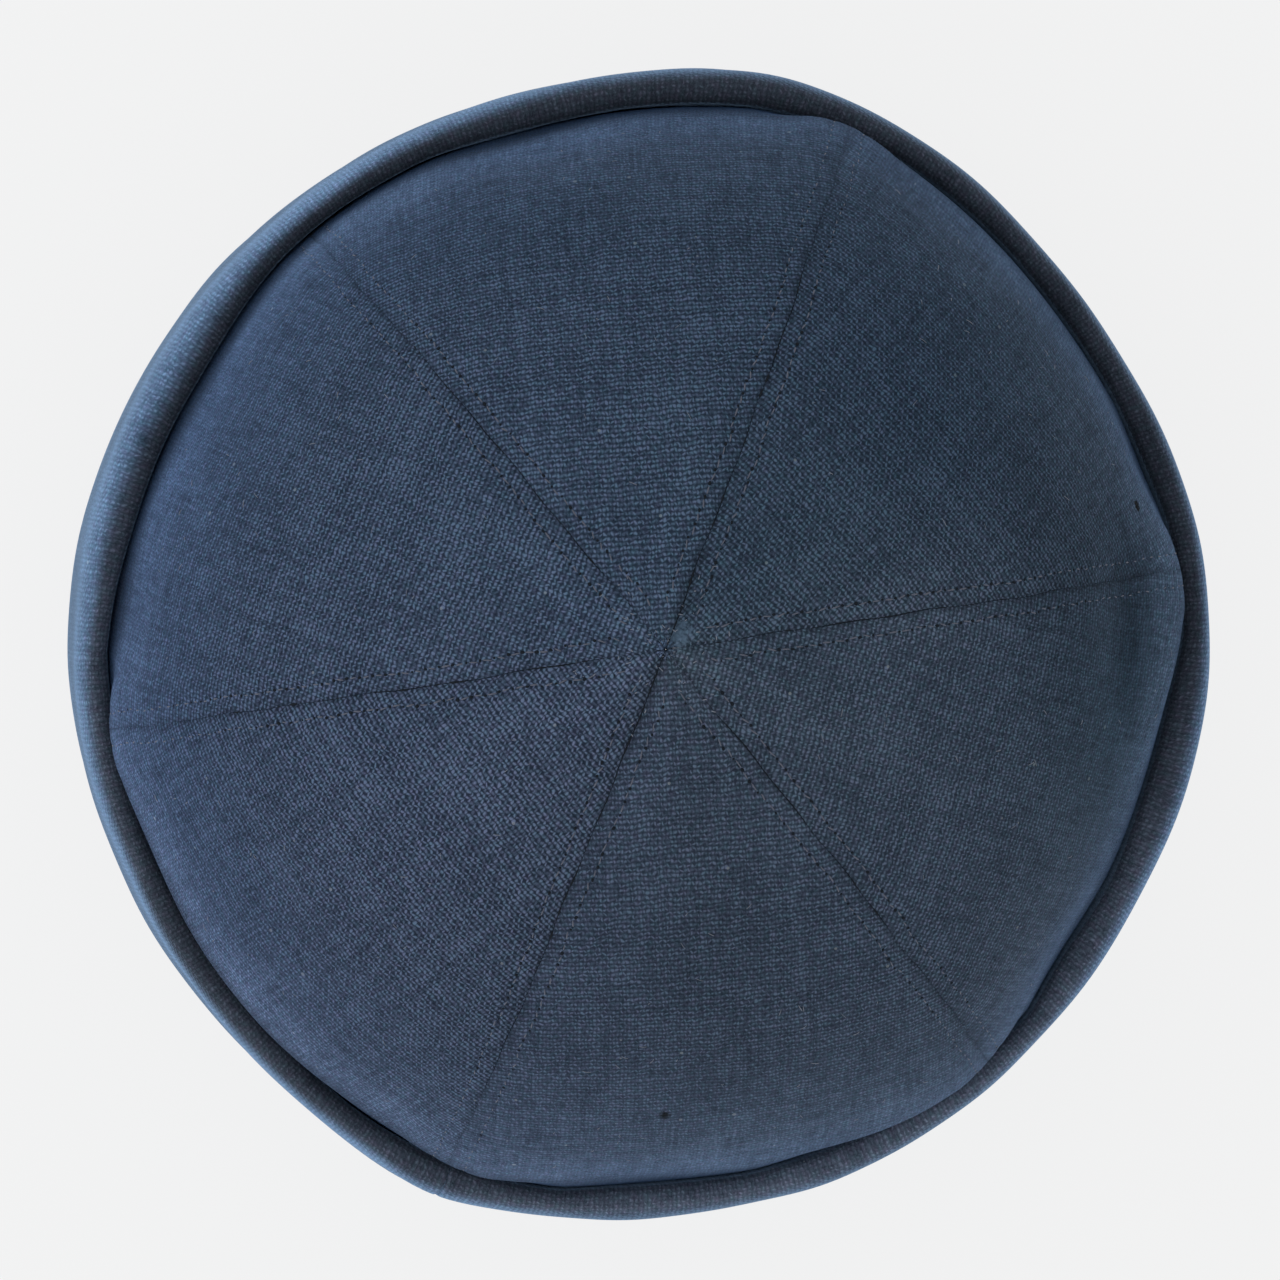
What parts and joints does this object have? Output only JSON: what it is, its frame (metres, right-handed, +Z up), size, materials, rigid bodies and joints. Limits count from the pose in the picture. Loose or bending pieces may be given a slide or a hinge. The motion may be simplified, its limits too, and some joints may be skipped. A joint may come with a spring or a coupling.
{
  "type": "docker cap",
  "caption": "Brimless canvas docker cap: a round crown of sewn gores with a wide doubled cuff turned up round the rim.",
  "frame": {"origin": "on the floor under the middle of the cap's box, at the cuff's flat lower edge", "axes": "+Z up through the crown; +X and +Y lie across the rim, and the long seam over the crown runs 69 degrees from +X"},
  "size_m": [0.201, 0.2024, 0.114],
  "materials": {
    "canvas": "matte plain-weave linen canvas, navy"
  },
  "bodies": {
    "root": {"crown_panel_1": "canvas", "crown_panel_2": "canvas", "crown_panel_3": "canvas", "crown_panel_4": "canvas", "crown_panel_5": "canvas", "crown_panel_6": "canvas", "cuff": "canvas"}
  },
  "joints": []
}
